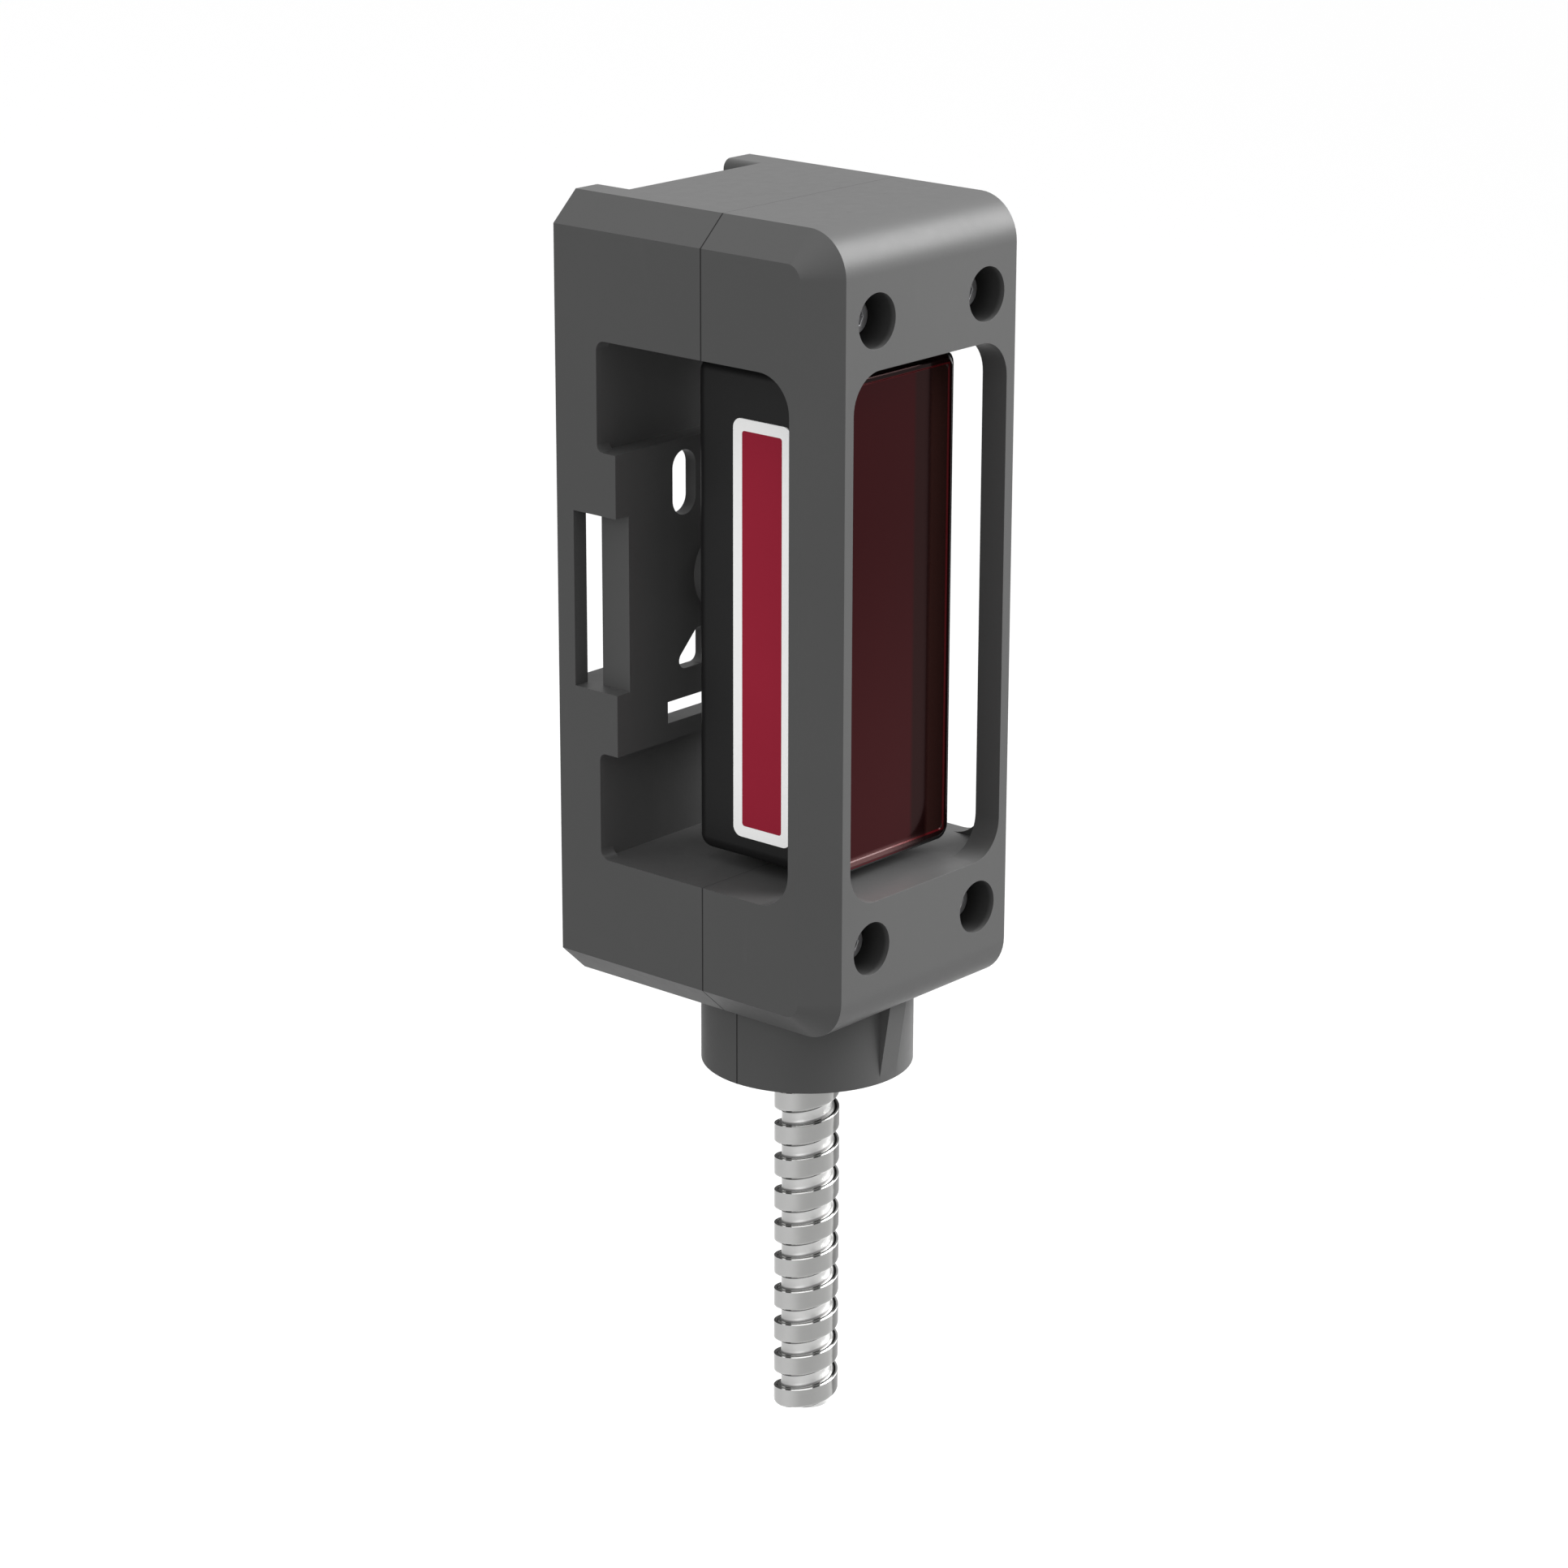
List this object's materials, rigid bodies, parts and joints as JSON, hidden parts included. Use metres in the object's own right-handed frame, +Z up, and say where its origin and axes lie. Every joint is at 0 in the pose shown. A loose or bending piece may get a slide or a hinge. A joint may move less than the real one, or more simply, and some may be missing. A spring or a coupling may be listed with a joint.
{
  "type": "retro-reflective photo eye",
  "caption": "Photo eye with a dark red window in a two-half cast guard with open sides, a channel at the rear for a rail or strap, and a round boss below with a short end of steel conduit.",
  "frame": {"origin": "centre of the rear (wall) plane that the two ears rest on, at the guard's mid-height", "axes": "+Z up, the window faces -Y, +Y into the wall, +X to the right seen from the front"},
  "size_m": [0.05, 0.054, 0.1997],
  "materials": {
    "guard_paint": "powder-coated casting, fine grain",
    "case_plastic": "fine matt black moulding",
    "window_plastic": "glossy, very dark red",
    "label_sheet": "laminated sheet",
    "black_rubber": "matt",
    "screw_steel": "oiled steel",
    "conduit_steel": "zinc-plated strip",
    "bushing_steel": "turned and plated",
    "nipple_brass": "turned",
    "inner_plastic": "black moulding",
    "clear_lens": "polished",
    "filter_film": "polished film",
    "diode_resin": "clear resin",
    "light_resin": "green resin",
    "board_laminate": "green solder mask",
    "chip_body": "black package",
    "terminal_plastic": "green moulding",
    "cable_sheath": "matt black",
    "wire_brown": "satin",
    "wire_white": "satin",
    "wire_blue": "satin",
    "wire_black": "satin",
    "bare_copper": "drawn"
  },
  "bodies": {
    "root": {"front_guard": "guard_paint", "rear_guard": "guard_paint", "guard_screw_top_left": "screw_steel", "guard_screw_top_right": "screw_steel", "guard_screw_bottom_left": "screw_steel", "guard_screw_bottom_right": "screw_steel", "sensor_case": "case_plastic", "front_window": "window_plastic", "window_gasket": "black_rubber", "sensor_label": "label_sheet", "lens_carrier": "inner_plastic", "emitter_lens": "clear_lens", "receiver_lens": "clear_lens", "emitter_filter": "filter_film", "receiver_filter": "filter_film", "circuit_board": "board_laminate", "emitter_diode": "diode_resin", "receiver_diode": "diode_resin", "status_light": "light_resin", "light_pipe": "clear_lens", "control_chip": "chip_body", "wire_terminal": "terminal_plastic", "carrier_screw_upper": "screw_steel", "carrier_screw_lower": "screw_steel", "fixing_insert": "nipple_brass", "fixing_screw": "screw_steel", "seat_gasket": "black_rubber", "sensor_nipple": "nipple_brass", "nipple_nut": "nipple_brass", "conduit_bushing": "bushing_steel", "conduit_ferrule": "nipple_brass", "flex_conduit": "conduit_steel", "cable_jacket": "cable_sheath", "wire_1": "wire_brown", "wire_2": "wire_white", "wire_3": "wire_blue", "wire_4": "wire_black", "wire_copper_1": "bare_copper", "wire_copper_2": "bare_copper", "wire_copper_3": "bare_copper", "wire_copper_4": "bare_copper"}
  },
  "joints": []
}
